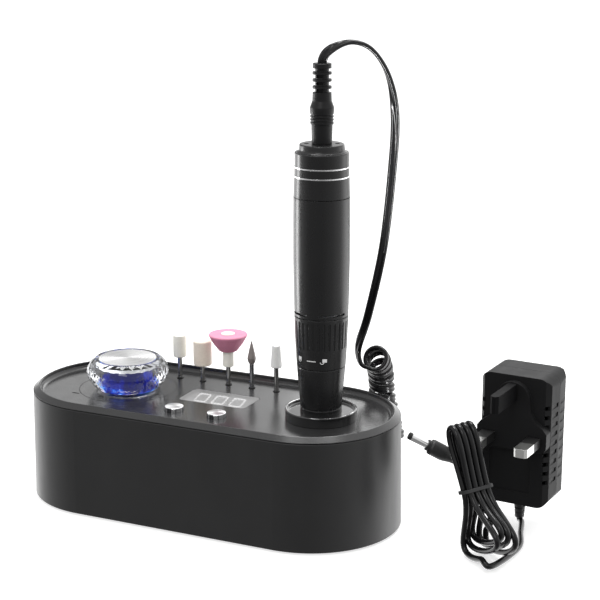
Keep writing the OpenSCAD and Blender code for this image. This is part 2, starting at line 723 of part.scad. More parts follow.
module coiled_cord() {
  coil = [for (i = [0:coil_n]) coil_point(i)];
  axes = [for (i = [0:coil_n]) coil_axis(coil_d(coil_turns * i / coil_n))];
  first = coil[0];
  last = coil[coil_n];
  back = unit(first - coil[1]);
  out = unit(last - coil[coil_n - 1]);
  top = [hand_at[0], hand_at[1], boot_top_z + 0.05];
  // from the plug at the back, round into the first turn
  tail = spline([tail_start - [0, 10, 0], tail_start + [0, 0.8, 0], tail_start + [2.5, 8, -0.5],
                 tail_start + [9, 12.5, -3], first + back * 7 + [0, 0, -2.5], first, coil[4]], 6);
  // from the last turn up behind the box, over the top and down into the boot
  lead = spline([coil[coil_n - 3], last, last + out * 4.5 + [0, 0, 1], last + out * 5.5 + [-0.5, 1, 9],
                 [64.5, 38, 93], [74.5, 31, 128], [82, 22, 166], [86, 14.5, 192], [84.5, 10, 210],
                 [78, 7, 221.5], [69.5, 4, 225], [61, 0.5, 222], top + [0, 0, 0.8], top - [0, 0, 9]], 7);
  // the flat cord leaves the coil, turns its flat side to the front, and goes over the top on edge
  from = axes[coil_n];
  lead_side = [for (i = [0:len(lead) - 1])
    let (t = min(1, i / 30), over = pow(sin(180 * max(0, i / (len(lead) - 1) - 0.45) / 0.55), 2))
      unit((1 - t) * from + t * (1 - over) * sideways + over * forward)];
  color("#161616") swept(
    concat([tail_start], tail, [for (i = [0:coil_n - 1]) coil[i]], lead, [top + [0, 0, 0.8], top]),
    concat([for (i = [0:len(tail)]) [0, 0, 1]], [for (i = [0:coil_n - 1]) axes[i]], lead_side,
           [sideways, sideways]),
    cord_half_w, cord_half_t, 12);
}

module base_plug() {
  color("#202021") translate([cord_jack_x, rear_y, jack_z]) rotate([-90, 0, 0]) difference() {
    turned([[0, -9.5], [1.9, -9.5], [2.5, -8.8], [2.5, 1], [4.6, 1], [4.8, 10], [4.2, 11], [3.2, 11.2],
            [3, 22.4], [0, 22.4]]);
    for (k = [0:3]) tube(5, 2.6, 12.4 + 2.6 * k, 13.4 + 2.6 * k);
  }
}

// ---------- adapter ----------

adapter_size = [adapter_w, adapter_d, adapter_h];
seam_gap = 0.1;
pin_z = 32.9;                        // line and neutral pins
earth_z = pin_z + 22.2;
pin_pitch = 22.2;

module at_adapter() {
  translate([adapter_at[0], adapter_at[1], adapter_z]) rotate([0, 0, adapter_turn]) children();
}

// Case outline seen from the front, between two depths, y0 nearest the front.
module case_slab(inset, r, y0, y1) {
  w = adapter_size[0] / 2 - inset;
  top = adapter_size[2] - inset;
  translate([0, y1, 0]) rotate([90, 0, 0]) linear_extrude(y1 - y0) {
    translate([-w + r, inset]) square([2 * (w - r), top - inset]);
    translate([-w, inset + r]) square([2 * w, top - inset - 2 * r]);
    for (x = [-1, 1], z = [inset + r, top - r]) translate([x * (w - r), z]) circle(r = r);
  }
}

// Bevel all round, as a solid to cut the front half with; the back half mirrors it.
module case_bevel() {
  w = adapter_size[0] / 2;
  d = adapter_size[1] / 2;
  top = adapter_size[2];
  cut = 2.6;
  translate([0, 0, -1]) linear_extrude(top + 2)
    polygon([[-w - 1, 1], [w + 1, 1], [w, 0], [w - 0.6, -d + cut], [w - cut, -d], [-w + cut, -d],
             [-w + 0.6, -d + cut], [-w, 0]]);
}

module case_half() {
  d = adapter_size[1] / 2;
  difference() {
    intersection() {
      case_slab(0, 6, -d, -seam_gap / 2);
      case_bevel();
    }
    case_slab(2.2, 4, -d + 2.2, 1);
    // grip ribs down both sides, and the vents along both edges
    for (k = [0:8], x = [-1, 1]) translate([x * adapter_size[0] / 2, -d, 12.6 + 4.46 * k]) {
      translate([-0.6, 3.4, -1]) cube([1.2, d - 5, 2]);
      translate([-x * 2.2 - 1.1, -1, -1.05]) cube([2.2, 3.2, 2.1]);
    }
    translate([-3.2, -seam_gap - 2.8, -1]) cube([6.4, 4, 4]);
  }
}

module adapter_front() {
  d = adapter_size[1] / 2;
  color("#1d1d1e") at_adapter() difference() {
    union() {
      case_half();
      // raised plug face round the pins
      translate([0, -d + 2.2, 0]) rotate([90, 0, 0]) linear_extrude(5.2)
        polygon(concat(
          arc(0, earth_z - 3.6, 8.2, 0, 180, 12),
          [[-8.8, pin_z + 13], [-11, pin_z + 9.2], [-15, pin_z + 6.4], [-16.9, pin_z + 4]],
          arc(-13.7, pin_z - 2, 3.2, 180, 262, 4),
          arc(13.7, pin_z - 2, 3.2, 278, 360, 4),
          [[16.9, pin_z + 4], [15, pin_z + 6.4], [11, pin_z + 9.2], [8.8, pin_z + 13]]));
    }
    // blank label panel
    translate([-11.5, -d - 1, 6]) cube([20, 1.6, 20]);
    for (x = [-1, 1]) translate([x * pin_pitch / 2 - 3.2, -d - 6, pin_z - 2.02]) cube([6.4, 12, 4.04]);
    translate([-2.02, -d - 6, earth_z - 4.02]) cube([4.04, 12, 8.04]);
  }
}

module adapter_back() {
  color("#1d1d1e") at_adapter() mirror([0, 1, 0]) case_half();
}

// Flat pins that stand length proud of the plug face, with a bevelled tip.
module flat_pin(size, length) {
  face = -adapter_size[1] / 2 - 3;
  translate([0, face + 8, 0]) rotate([90, 0, 0]) intersection() {
    translate([-size[0] / 2, -size[1] / 2, 0]) cube([size[0], size[1], length + 8]);
    rotate([90, 0, 0]) translate([0, 0, -size[1]]) linear_extrude(2 * size[1])
      polygon([[-size[0] / 2, -1], [size[0] / 2, -1], [size[0] / 2, length + 6.8],
               [size[0] / 2 - 1.2, length + 8], [1.2 - size[0] / 2, length + 8],
               [-size[0] / 2, length + 6.8]]);
  }
}

module plug_pins() {
  color("#c9cbce") at_adapter() for (x = [-1, 1])
    translate([x * pin_pitch / 2, 0, pin_z]) flat_pin([6.35, 4], 17.7);
}

module earth_pin() {
  color("#141414") at_adapter() translate([0, 0, earth_z]) flat_pin([4, 8], 22.7);
}

module adapter_relief() {
  color("#161616") at_adapter() translate([0, 0, -10.5]) difference() {
    turned([[0, 0], [2, 0], [2.2, 0.4], [3, 10.3], [2.75, 10.4], [2.75, 13.4], [0, 13.4]]);
    for (k = [0:3], turn = [0, 1])
      translate([0, 0, 1.2 + 2.3 * k + 1.15 * turn]) rotate([0, 0, 90 * turn])
        for (x = [-1, 1]) translate([x * 2.9 - 1, -4, 0]) cube([2, 8, 0.8]);
  }
}

// Frame of the tied bundle: up, from loop to loop, and across.
hank_foot = [147, -15, 4.8];
hank_up = unit([-0.34, 0.17, 0.92]);
hank_step = unit(cross(hank_up, [0.66, -0.55, 0]));
hank_across = cross(hank_step, hank_up);
loops = 4.14;
loop_pitch = 2 * cable_r + 0.12;
tie_at = 0.5;
// The cable goes round with turn, from the front of the bundle to the back.
function loop_point(turn) =
  let (k = turn - floor(turn), h = (1 - cos(360 * k)) / 2,
       low = 3 * (1 - cos(360 * turn / loops)) * (1 - h),
       bow = h < tie_at ? 17 : 3.5,
       w = (cable_r + 0.1) * abs(sin(360 * k)) + bow * abs(sin(720 * k) * cos(360 * k)))
    hank_foot + hank_up * (low + (hank_h - low) * h) + hank_step * loop_pitch * (turn - loops / 2)
    - hank_across * sign(sin(360 * k)) * w;

plug_dir = unit([-0.80, -0.37, 0.47]);
plug_at = [124.9, 9.3, 36.1];        // where the cable enters the plug grip
loop_steps = 36;

module dc_cable() {
  n = round(loops * loop_steps);
  relief_end = [adapter_at[0], adapter_at[1], adapter_z - 10.5];
  wound = [for (i = [0:n]) loop_point(i / loop_steps)];
  enter = unit(wound[0] - wound[1]);
  leave = unit(wound[n] - wound[n - 1]);
  lead_in = spline([relief_end + [0, 0, 8], relief_end - [0, 0, 0.3], relief_end + [2, -3, -1.4],
                    relief_end + [5, -14, -1.8], relief_end + [9.5, -32, -1.7],
                    wound[0] + enter * 8 + [0, 3, -4], wound[0], wound[1]], 6);
  lead_out = spline([wound[n - 2], wound[n], wound[n] + leave * 5 + hank_step * 2.5,
                     plug_at + [8, 3, -12], plug_at - plug_dir * 6 + [0, 0, -1.5],
                     plug_at - plug_dir * 0.6, plug_at + plug_dir * 5], 6);
  points = concat([relief_end - [0, 0, 0.1]], lead_in, [for (i = [0:n - 1]) wound[i]], lead_out,
                  [plug_at - plug_dir * 0.6, plug_at]);
  color("#141414") swept(points, [for (p = points) hank_step], cable_r, cable_r, 8);
}

module in_hank(h) {
  at = hank_foot + hank_up * hank_h * h;
  multmatrix([[hank_across[0], hank_step[0], hank_up[0], at[0]],
              [hank_across[1], hank_step[1], hank_up[1], at[1]],
              [hank_across[2], hank_step[2], hank_up[2], at[2]]]) children();
}

module cable_tie() {
  inner = [4 * cable_r + 0.9, 3.5 * loop_pitch + 2 * cable_r + 0.9];
  color("#0f0f0f") in_hank(tie_at) translate([0, -0.07 * loop_pitch, 0]) difference() {
    round_block(inner + [1.4, 1.4], 2.3, 1.5);
    translate([0, 0, -1]) round_block(inner, 1.6, 5);
  }
}

// Stands children up along the cable plug, from where the cable enters it.
module at_plug() {
  translate(plug_at) rotate([0, acos(plug_dir[2]), atan2(plug_dir[1], plug_dir[0])]) children();
}

module dc_plug_grip() {
  color("#131313") at_plug() turned([[0, 0.05], [1.8, 0.05], [2.1, 0.4], [2.6, 7], [3.5, 10.5], [3.7, 12],
                                     [3.7, 17.6], [3.4, 18.4], [2.6, 18.6], [2.6, 20], [0, 20]]);
}

module dc_plug_tip() {
  color("#c4c6c9") at_plug() difference() {
    turned([[0, 20.02], [1.75, 20.02], [1.75, 29.2], [1.45, 29.5], [0, 29.5]]);
    translate([0, 0, 21]) cylinder(r = 0.7, h = 12);
  }
}

base_shell();
top_cover();
bottom_plate();
rubber_feet();
base_screws();
main_board();
board_components();
display_module();
display_digits();
display_window();
status_lens();
knob_plate();
led_ring_board();
encoder_body();
bit_sockets();
holder_cup();
cord_jack();
dc_jack();
base_plug();
coiled_cord();
speed_knob();
knob_core();
knob_disc();
encoder_shaft();
mode_button();
power_button();
ceramic_bit_shank();
ceramic_bit_head();
felt_bit_shank();
felt_bit_head();
cone_bit_shank();
cone_bit_hub();
cone_bit_head();
flame_bit();
taper_bit_shank();
taper_bit_head();
barrel();
tail_sleeve();
polished_rings();
end_cap();
nose_cone();
spindle_housing();
motor_can();
spindle_bearings();
plug_boot();
plug_barrel();
lock_collar();
lock_marks();
release_sleeve();
motor_shaft();
collet();
adapter_front();
adapter_back();
plug_pins();
earth_pin();
adapter_relief();
dc_cable();
cable_tie();
dc_plug_grip();
dc_plug_tip();
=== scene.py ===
import math

import bpy
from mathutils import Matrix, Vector


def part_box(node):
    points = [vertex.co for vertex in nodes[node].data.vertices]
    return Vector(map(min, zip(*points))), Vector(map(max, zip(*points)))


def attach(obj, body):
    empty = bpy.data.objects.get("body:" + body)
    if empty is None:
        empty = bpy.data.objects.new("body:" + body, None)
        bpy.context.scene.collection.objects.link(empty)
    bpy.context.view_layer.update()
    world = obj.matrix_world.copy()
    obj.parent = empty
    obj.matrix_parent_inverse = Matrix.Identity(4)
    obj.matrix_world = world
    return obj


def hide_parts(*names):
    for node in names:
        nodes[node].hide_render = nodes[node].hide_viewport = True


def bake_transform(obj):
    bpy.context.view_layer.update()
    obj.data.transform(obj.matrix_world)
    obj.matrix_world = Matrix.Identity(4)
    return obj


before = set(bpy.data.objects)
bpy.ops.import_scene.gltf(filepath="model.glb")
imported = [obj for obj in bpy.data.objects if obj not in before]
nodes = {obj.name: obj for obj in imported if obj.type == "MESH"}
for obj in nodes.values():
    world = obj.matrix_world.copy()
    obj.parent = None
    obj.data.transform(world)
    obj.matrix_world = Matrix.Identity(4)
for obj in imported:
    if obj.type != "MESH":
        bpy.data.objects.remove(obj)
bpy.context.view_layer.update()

MM = 0.001


def mm(*v):
    return Vector(v) * MM


# ---------------------------------------------------------------- materials

class Graph:
    """A material's node tree, built from short calls."""

    def __init__(self, name, world=False):
        self.m = (bpy.data.worlds if world else bpy.data.materials).new(name)
        self.m.use_nodes = True
        self.t = self.m.node_tree
        self.t.nodes.clear()
        self.out = self.t.nodes.new("ShaderNodeOutputWorld" if world else "ShaderNodeOutputMaterial")
        self.coord = self.t.nodes.new("ShaderNodeTexCoord").outputs["Generated" if world else "Object"]

    def node(self, kind, inputs=None, **settings):
        n = self.t.nodes.new("ShaderNode" + kind)
        for k, v in settings.items():
            setattr(n, k, v)
        for k, v in (inputs or {}).items():
            if isinstance(v, bpy.types.NodeSocket):
                self.t.links.new(v, n.inputs[k])
            else:
                n.inputs[k].default_value = v
        return n

    def noise(self, scale, detail=3.0, rough=0.55, vector=None):
        return self.node("TexNoise", {"Vector": vector or self.coord, "Scale": scale, "Detail": detail,
                                      "Roughness": rough}).outputs["Fac"]

    def remap(self, value, a, b, c, d):
        return self.node("MapRange", {"Value": value, "From Min": a, "From Max": b, "To Min": c, "To Max": d}
                         ).outputs["Result"]

    def math(self, op, a, b=0.0):
        return self.node("Math", {0: a, 1: b}, operation=op).outputs[0]

    def vector(self, op, a, b=None, out="Vector"):
        inputs = {0: a} if b is None else {0: a, 1: b}
        return self.node("VectorMath", inputs, operation=op).outputs[out]

    def dot(self, a, b):
        return self.vector("DOT_PRODUCT", a, b, "Value")

    def split(self, vector):
        """The X, Y and Z of a vector."""
        n = self.node("SeparateXYZ", {"Vector": vector})
        return [n.outputs[k] for k in "XYZ"]

    def mix(self, fac, a, b):
        n = self.node("Mix", {"Factor": fac}, data_type="RGBA")
        for i, v in ((6, a), (7, b)):
            if isinstance(v, bpy.types.NodeSocket):
                self.t.links.new(v, n.inputs[i])
            else:
                n.inputs[i].default_value = v
        return n.outputs[2]

    def ramp(self, value, stops):
        """A smooth grey curve through (position, level) stops; levels up to 4."""
        n = self.node("ValToRGB", {"Fac": value})
        e = n.color_ramp.elements
        n.color_ramp.interpolation = "EASE"
        for i, (at, level) in enumerate(stops):
            el = e[i] if i < 2 else e.new(at)
            el.position, el.color = at, (level / 4, level / 4, level / 4, 1)
        return self.math("MULTIPLY", n.outputs["Color"], 4.0)

    def scaled(self, x, y, z):
        return self.node("Mapping", {"Vector": self.coord, "Scale": (x, y, z)}).outputs["Vector"]

    def bump(self, height, strength, distance, normal=None):
        i = {"Height": height, "Strength": strength, "Distance": distance}
        if normal is not None:
            i["Normal"] = normal
        return self.node("Bump", i).outputs["Normal"]

    def bevel(self, radius):
        return self.node("Bevel", {"Radius": radius}, samples=4).outputs["Normal"]

    def principled(self, **inputs):
        """A Principled shader; an input's spaces are written as underscores."""
        n = self.node("BsdfPrincipled", {k.replace("_", " "): v for k, v in inputs.items()})
        return n.outputs["BSDF"]

    def blend(self, fac, a, b):
        return self.node("MixShader", {0: fac, 1: a, 2: b}).outputs["Shader"]

    def surface(self, shader):
        self.t.links.new(shader, self.out.inputs["Surface"])
        return self.m


def rgb(r, g, b):
    return (r, g, b, 1.0)


def shade(color, factor, lift=0.0):
    """A colour made darker or lighter."""
    return rgb(*[min(1, c * factor + lift) for c in color])


def moulded(name, color, rough, grain=2600.0, depth=0.02, edge=0.3, coat=0.0, edge_wear_and_highlight=0.25, gloss=0.5):
    """Moulded plastic, rubber or anodised metal: fine grain, slow colour drift and softened edges painted
    paler, partly as rubbing and partly as a painted highlight.
    """
    g = Graph(name)
    drift = g.noise(45.0, 4.0)
    fine = g.noise(grain, 2.0)
    base = g.mix(drift, shade(color, 0.88), shade(color, 1.12, 0.002))
    soft = g.bevel(edge * MM)
    plain = g.node("NewGeometry").outputs["Normal"]
    # Paler edges: partly rubbed, partly a painted highlight along the rims.
    worn_and_highlit_edge = g.remap(g.dot(soft, plain), 1.0, 0.86, 0.0, edge_wear_and_highlight)
    base = g.mix(worn_and_highlit_edge, base, shade(color, 2.2, 0.02))
    smear = g.noise(140.0, 5.0, 0.7, g.scaled(1, 1, 0.25))
    roughness = g.remap(smear, 0.3, 0.7, rough * 0.9, min(1, rough * 1.12))
    return g.surface(g.principled(Base_Color=base, Roughness=roughness, IOR=1.5, Coat_Weight=coat,
                                  Coat_Roughness=0.12, Specular_IOR_Level=gloss,
                                  Normal=g.bump(fine, depth * 10, 0.00004, soft)))


def metal(name, color, rough, lines, stretch=30):
    """Turned metal; stretch packs its fine scratches into rings up the piece."""
    g = Graph(name)
    scratch = g.noise(900.0, 3.0, 0.6, g.scaled(1, 1, stretch))
    drift = g.noise(220.0, 3.0)
    base = g.mix(drift, shade(color, 0.88), shade(color, 1.06))
    roughness = g.remap(scratch, 0.3, 0.7, rough * 0.75, rough * 1.3)
    return g.surface(g.principled(Base_Color=base, Roughness=roughness, Metallic=1.0,
                                  Normal=g.bump(scratch, lines, 0.00002, g.bevel(0.15 * MM))))


def stone(name, color, rough, grain, depth, fuzz=0.0):
    """Abrasive stone, ceramic or felt: pitted grain, uneven colour and painted shade in the pits."""
    g = Graph(name)
    pits = g.node("TexVoronoi", {"Vector": g.coord, "Scale": grain}).outputs["Distance"]
    fine = g.noise(grain * 1.7, 4.0, 0.65)
    drift = g.noise(180.0, 4.0)
    base = g.mix(drift, shade(color, 0.86), shade(color, 1.07))
    # The pits are darkened: painted shade in the hollows.
    base = g.mix(g.remap(pits, 0.0, 0.5, 0.25, 0.0), base, shade(color, 0.6))
    normal = g.bump(g.math("ADD", pits, fine), depth, 0.00012, g.bevel(0.2 * MM))
    return g.surface(g.principled(Base_Color=base, Roughness=rough, Normal=normal, Sheen_Weight=fuzz,
                                  Subsurface_Weight=0.1, Subsurface_Radius=(0.001, 0.001, 0.0008),
                                  Subsurface_Scale=1.0))


def middle(node):
    low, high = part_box(node)
    return (low + high) / 2


def lathe_rings(g, node, turns):
    """Rings round a node's centre line; also the level vector out from it."""
    x, y = g.split(g.vector("SUBTRACT", g.coord, middle(node)))[:2]
    flat = g.node("CombineXYZ", {"X": x, "Y": y, "Z": 0.0}).outputs["Vector"]
    radius = g.vector("LENGTH", flat, out="Value")
    rings = g.node("TexNoise", {"W": g.math("MULTIPLY", radius, turns), "Scale": 1.0, "Detail": 2.0},
                   noise_dimensions="1D").outputs["Fac"]
    return rings, flat


def spun(name, node, color, rough):
    """A face turned on a lathe: rings round the centre that throw a star of light."""
    g = Graph(name)
    rings, flat = lathe_rings(g, node, 2600.0)
    tangent = g.vector("NORMALIZE", g.vector("CROSS_PRODUCT", (0, 0, 1), flat))
    return g.surface(g.principled(Base_Color=g.mix(rings, shade(color, 0.93), rgb(*color)), Metallic=1.0,
                                  Roughness=g.remap(rings, 0.2, 0.8, rough * 0.85, rough * 1.2),
                                  Anisotropic=0.85, Tangent=tangent,
                                  Normal=g.bump(rings, 0.08, 0.00001, g.bevel(0.12 * MM))))


case_black = moulded("case_black", (0.014, 0.014, 0.0145), 0.36, grain=2200, depth=0.03, edge=0.35)
deck_black = moulded("deck_black", (0.016, 0.016, 0.0165), 0.22, grain=2600, depth=0.006, edge=0.25)
dark_plastic = moulded("dark_plastic", (0.015, 0.015, 0.016), 0.5)
gloss_black = moulded("gloss_black", (0.006, 0.006, 0.0065), 0.08, grain=900, depth=0.004, coat=1.0, edge_wear_and_highlight=0.1)
rubber_black = moulded("rubber_black", (0.012, 0.012, 0.0125), 0.5, grain=1800, depth=0.05)
boot_black = moulded("boot_black", (0.008, 0.008, 0.0085), 0.4, grain=1800, depth=0.04, gloss=0.22)
anodised = moulded("anodised_black", (0.009, 0.009, 0.0095), 0.27, grain=5200, edge=0.2, edge_wear_and_highlight=0.35, gloss=0.4)
cord_black = moulded("cord_black", (0.005, 0.005, 0.0055), 0.2, grain=1400, depth=0.01, edge=0.1, gloss=0.3)
adapter_black = moulded("adapter_black", (0.012, 0.012, 0.0125), 0.42, grain=1500, depth=0.05, edge=0.4,
                        gloss=0.08)
steel = metal("steel", (0.50, 0.50, 0.51), 0.24, 0.15)
dark_steel = metal("dark_steel", (0.36, 0.355, 0.35), 0.13, 0.15)
aluminium = metal("aluminium", (0.62, 0.63, 0.65), 0.3, 0.2)
chrome = metal("chrome", (0.86, 0.86, 0.87), 0.1, 0.03, stretch=1)
board_green = moulded("circuit_green", (0.03, 0.16, 0.07), 0.35, coat=0.4)
component = moulded("component", (0.03, 0.03, 0.035), 0.5)
led_white = moulded("led_board", (0.75, 0.75, 0.73), 0.35)
ceramic = stone("ceramic", (0.93, 0.91, 0.83), 0.55, 2400, 0.25)
ceramic_white = stone("ceramic_white", (0.96, 0.96, 0.93), 0.5, 2600, 0.2)
felt = stone("felt", (0.93, 0.83, 0.71), 0.95, 1300, 1.2, 0.5)
pin_black = moulded("pin_black", (0.006, 0.006, 0.0065), 0.5, gloss=0.05)
pink_stone = stone("pink_stone", (0.72, 0.27, 0.40), 0.65, 2600, 0.3)
mark_white = moulded("mark_white", (0.85, 0.85, 0.85), 0.45)


def knob_blue_material():
    """Night-sky blue with pale clouds under clear resin, painted lighter near the foot as a glow lit from
    below, and lighter at its left and right as the camera sees it; its emission is painted glow standing in
    for the LEDs beneath.
    """
    g = Graph("knob_blue")
    low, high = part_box("knob_core")
    cloud = g.remap(g.noise(75.0, 5.0, 0.62), 0.34, 0.66, 0.25, 0.85)
    # Painted glow: the colour is lighter towards the foot, as if lit from below.
    lift = g.remap(g.split(g.coord)[2], low.z, high.z, 0.09, -0.11)
    # Painted light: lighter towards the left and right as the camera sees the core, darker in its middle.
    across = g.dot(g.vector("SUBTRACT", g.coord, (low + high) / 2), Vector((0.9, 0.42, 0)))
    sides = g.remap(g.math("ABSOLUTE", across), 0.0, (high.x - low.x) / 2, -0.17, 0.1)
    ramp = g.node("ValToRGB", {"Fac": g.math("ADD", g.math("ADD", cloud, lift), sides)})
    stops = ramp.color_ramp.elements
    stops[0].position, stops[0].color = 0.40, rgb(0.004, 0.006, 0.10)
    stops[1].position, stops[1].color = 0.80, rgb(0.90, 0.80, 1.0)
    for at, c in ((0.50, (0.004, 0.010, 0.32)), (0.58, (0.005, 0.09, 0.66)), (0.68, (0.12, 0.42, 0.95))):
        stops.new(at).color = rgb(*c)
    blue = ramp.outputs["Color"]
    # The emission is painted glow; the core itself is no lamp.
    return g.surface(g.principled(Base_Color=blue, Roughness=0.35, Specular_IOR_Level=0.15,
                                  Emission_Color=blue, Emission_Strength=0.6))


def crystal_material():
    """Clear cut resin, with the slightest tint and ripple."""
    g = Graph("crystal")
    tint = g.mix(g.noise(60.0, 2.0), rgb(0.97, 0.98, 1.0), rgb(1, 1, 1))
    glass = g.node("BsdfGlass", {"Color": tint, "Roughness": 0.0, "IOR": 1.5,
                                 "Normal": g.bump(g.noise(300.0, 2.0), 0.02, 0.00002)})
    return g.surface(glass.outputs["BSDF"])


def flame_material():
    """The flame bit: dark coated grit on the head, plain steel below it."""
    g = Graph("grey_stone")
    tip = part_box("flame_bit")[1].z
    head_length = 12.0 * MM
    head = g.math("GREATER_THAN", g.split(g.coord)[2], tip - head_length)
    pits = g.node("TexVoronoi", {"Vector": g.coord, "Scale": 3200.0}).outputs["Distance"]
    grit = g.mix(g.noise(500.0, 4.0), rgb(0.16, 0.14, 0.135), rgb(0.34, 0.30, 0.29))
    grit_side = g.principled(Base_Color=grit, Roughness=0.42, Metallic=0.4, Normal=g.bump(pits, 0.5, 0.00012))
    steel_side = g.principled(Base_Color=rgb(0.30, 0.30, 0.31), Metallic=1.0,
                              Roughness=g.remap(g.noise(900.0), 0.3, 0.7, 0.16, 0.28))
    return g.surface(g.blend(head, steel_side, grit_side))


# The way the loose power plug points.
PLUG_AXIS = Vector((-0.80, -0.37, 0.47)).normalized()


def plug_tip_material():
    """The round power plug: bright barrel with a black ring at its mouth."""
    g = Graph("plug_tip")
    along = g.dot(g.vector("SUBTRACT", g.coord, middle("dc_plug_tip")), PLUG_AXIS)
    mouth_ring = 3.3 * MM
    end = g.math("GREATER_THAN", along, mouth_ring)
    bright = g.principled(Base_Color=rgb(0.8, 0.8, 0.8), Metallic=1.0,
                          Roughness=g.remap(g.noise(900.0), 0.3, 0.7, 0.1, 0.2))
    black = g.principled(Base_Color=rgb(0.01, 0.01, 0.01),
                         Roughness=g.remap(g.noise(900.0), 0.3, 0.7, 0.3, 0.4))
    return g.surface(g.blend(end, bright, black))


def window_material():
    """A smoked sheet over the display, half of it seen through."""
    g = Graph("window")
    grain = g.noise(3000.0, 2.0)
    tint = g.mix(grain, rgb(0.34, 0.34, 0.34), rgb(0.37, 0.37, 0.37))
    smoke = g.principled(Base_Color=tint, Roughness=0.35, Normal=g.bevel(0.1 * MM))
    clear = g.node("BsdfTransparent", {"Color": rgb(0.95, 0.95, 0.95)}).outputs["BSDF"]
    return g.surface(g.blend(0.55, clear, smoke))


def lit_material(name, color, strength):
    """A lit surface, a little uneven."""
    g = Graph(name)
    flicker = g.remap(g.noise(800.0, 2.0), 0.3, 0.7, strength * 0.92, strength * 1.08)
    return g.surface(g.principled(Base_Color=rgb(*color), Roughness=0.4, Emission_Color=rgb(*color),
                                  Emission_Strength=flicker))


def pin_material():
    """Plug pins: bright metal ends, black sleeves next to the case."""
    g = Graph("plug_pins")
    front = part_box("plug_pins")[0].y
    bare_length = 9.4 * MM
    sleeve = g.math("GREATER_THAN", g.split(g.coord)[1], front + bare_length)
    metal_end = g.principled(Base_Color=rgb(0.72, 0.72, 0.70), Metallic=1.0, Normal=g.bevel(0.3 * MM),
                             Roughness=g.remap(g.noise(120.0), 0.3, 0.7, 0.28, 0.34))
    black_end = g.principled(Base_Color=rgb(0.012, 0.012, 0.012), Normal=g.bevel(0.3 * MM),
                             Roughness=g.remap(g.noise(700.0), 0.3, 0.7, 0.35, 0.5))
    return g.surface(g.blend(sleeve, metal_end, black_end))


def button_material(name, node):
    """A push button: lathe-turned face, and a metal side whose colour swings between dark and bright in
    upright bands: painted highlight and painted shade.
    """
    g = Graph(name)
    rings, flat = lathe_rings(g, node, 3000.0)
    heading = g.vector("NORMALIZE", flat)
    tangent = g.vector("CROSS_PRODUCT", (0, 0, 1), heading)
    face = g.principled(Base_Color=g.mix(rings, rgb(0.72, 0.72, 0.73), rgb(0.85, 0.85, 0.86)), Metallic=1.0,
                        Roughness=0.33, Anisotropic=0.9, Tangent=tangent, Normal=g.bevel(0.25 * MM))
    # The side's colour changes with the angle round the button: painted highlight and shade in upright bands.
    painted_streak_mask = g.noise(2.6, 2.0, 0.5, heading)
    painted_streak_colour = g.mix(g.remap(painted_streak_mask, 0.42, 0.58, 0.0, 1.0), rgb(0.10, 0.10, 0.11), rgb(0.95, 0.95, 0.96))
    side = g.principled(Base_Color=painted_streak_colour, Metallic=1.0, Roughness=0.25, Normal=g.bevel(0.25 * MM))
    upward = g.split(g.node("NewGeometry").outputs["Normal"])[2]
    return g.surface(g.blend(g.math("GREATER_THAN", upward, 0.6), side, face))


finish = {
    "base_shell": case_black, "bottom_plate": dark_plastic, "top_cover": deck_black,
    "rubber_feet": rubber_black, "base_screws": steel, "main_board": board_green,
    "board_components": component, "display_module": moulded("display_grey", (0.5, 0.5, 0.5), 0.5),
    "display_window": window_material(), "display_digits": lit_material("digit_white", (1, 1, 1), 1.4),
    "status_lens": gloss_black, "knob_plate": deck_black, "led_ring_board": led_white,
    "encoder_body": steel, "bit_sockets": dark_plastic, "holder_cup": gloss_black,
    "cord_jack": dark_plastic, "dc_jack": dark_plastic, "base_plug": rubber_black,
    "coiled_cord": cord_black, "speed_knob": crystal_material(), "knob_core": knob_blue_material(),
    "knob_disc": spun("spun_white", "knob_disc", (1.0, 1.0, 1.0), 0.28), "encoder_shaft": aluminium,
    "mode_button": button_material("spun_mode", "mode_button"),
    "power_button": button_material("spun_power", "power_button"), "ceramic_bit_head": ceramic,
    "felt_bit_head": felt, "cone_bit_hub": ceramic, "cone_bit_head": pink_stone,
    "flame_bit": flame_material(), "taper_bit_head": ceramic_white, "ceramic_bit_shank": dark_steel,
    "felt_bit_shank": dark_steel, "cone_bit_shank": dark_steel, "taper_bit_shank": dark_steel,
    "barrel": anodised, "tail_sleeve": anodised, "end_cap": anodised, "nose_cone": anodised,
    "lock_collar": anodised, "polished_rings": chrome, "spindle_housing": aluminium, "motor_can": steel,
    "spindle_bearings": steel, "plug_boot": boot_black, "plug_barrel": chrome, "lock_marks": mark_white,
    "release_sleeve": steel, "motor_shaft": steel, "collet": steel, "adapter_front": adapter_black,
    "adapter_back": adapter_black, "plug_pins": pin_material(), "earth_pin": pin_black,
    "adapter_relief": rubber_black, "dc_cable": cord_black, "cable_tie": dark_plastic,
    "dc_plug_grip": rubber_black, "dc_plug_tip": plug_tip_material(),
}
for name, obj in nodes.items():
    obj.data.materials.clear()
    obj.data.materials.append(finish[name])
    obj.data.shade_smooth()
    obj.data.set_sharp_from_angle(angle=math.radians(32))


# ---------------------------------------------------------------- shapes

def mesh_piece(name, points, faces, material, sharp=None):
    """A mesh object; sharp is the angle above which a smooth-shaded edge stays crisp."""
    data = bpy.data.meshes.new(name)
    data.from_pydata([tuple(p) for p in points], [], faces)
    data.validate()
    data.update()
    obj = bpy.data.objects.new(name, data)
    bpy.context.scene.collection.objects.link(obj)
    data.materials.append(material)
    if sharp:
        data.shade_smooth()
        data.set_sharp_from_angle(angle=math.radians(sharp))
    return obj


def spline(way, steps):
    """Catmull-Rom curve through the waypoints, without the first and last of them."""
    out = []
    for i in range(1, len(way) - 2):
        a, b, c, d = way[i - 1:i + 3]
        for k in range(steps):
            t = k / steps
            out.append(0.5 * (2 * b + (c - a) * t + (2 * a - 5 * b + 4 * c - d) * t * t
                              + (3 * b - a - 3 * c + d) * t ** 3))
    return out


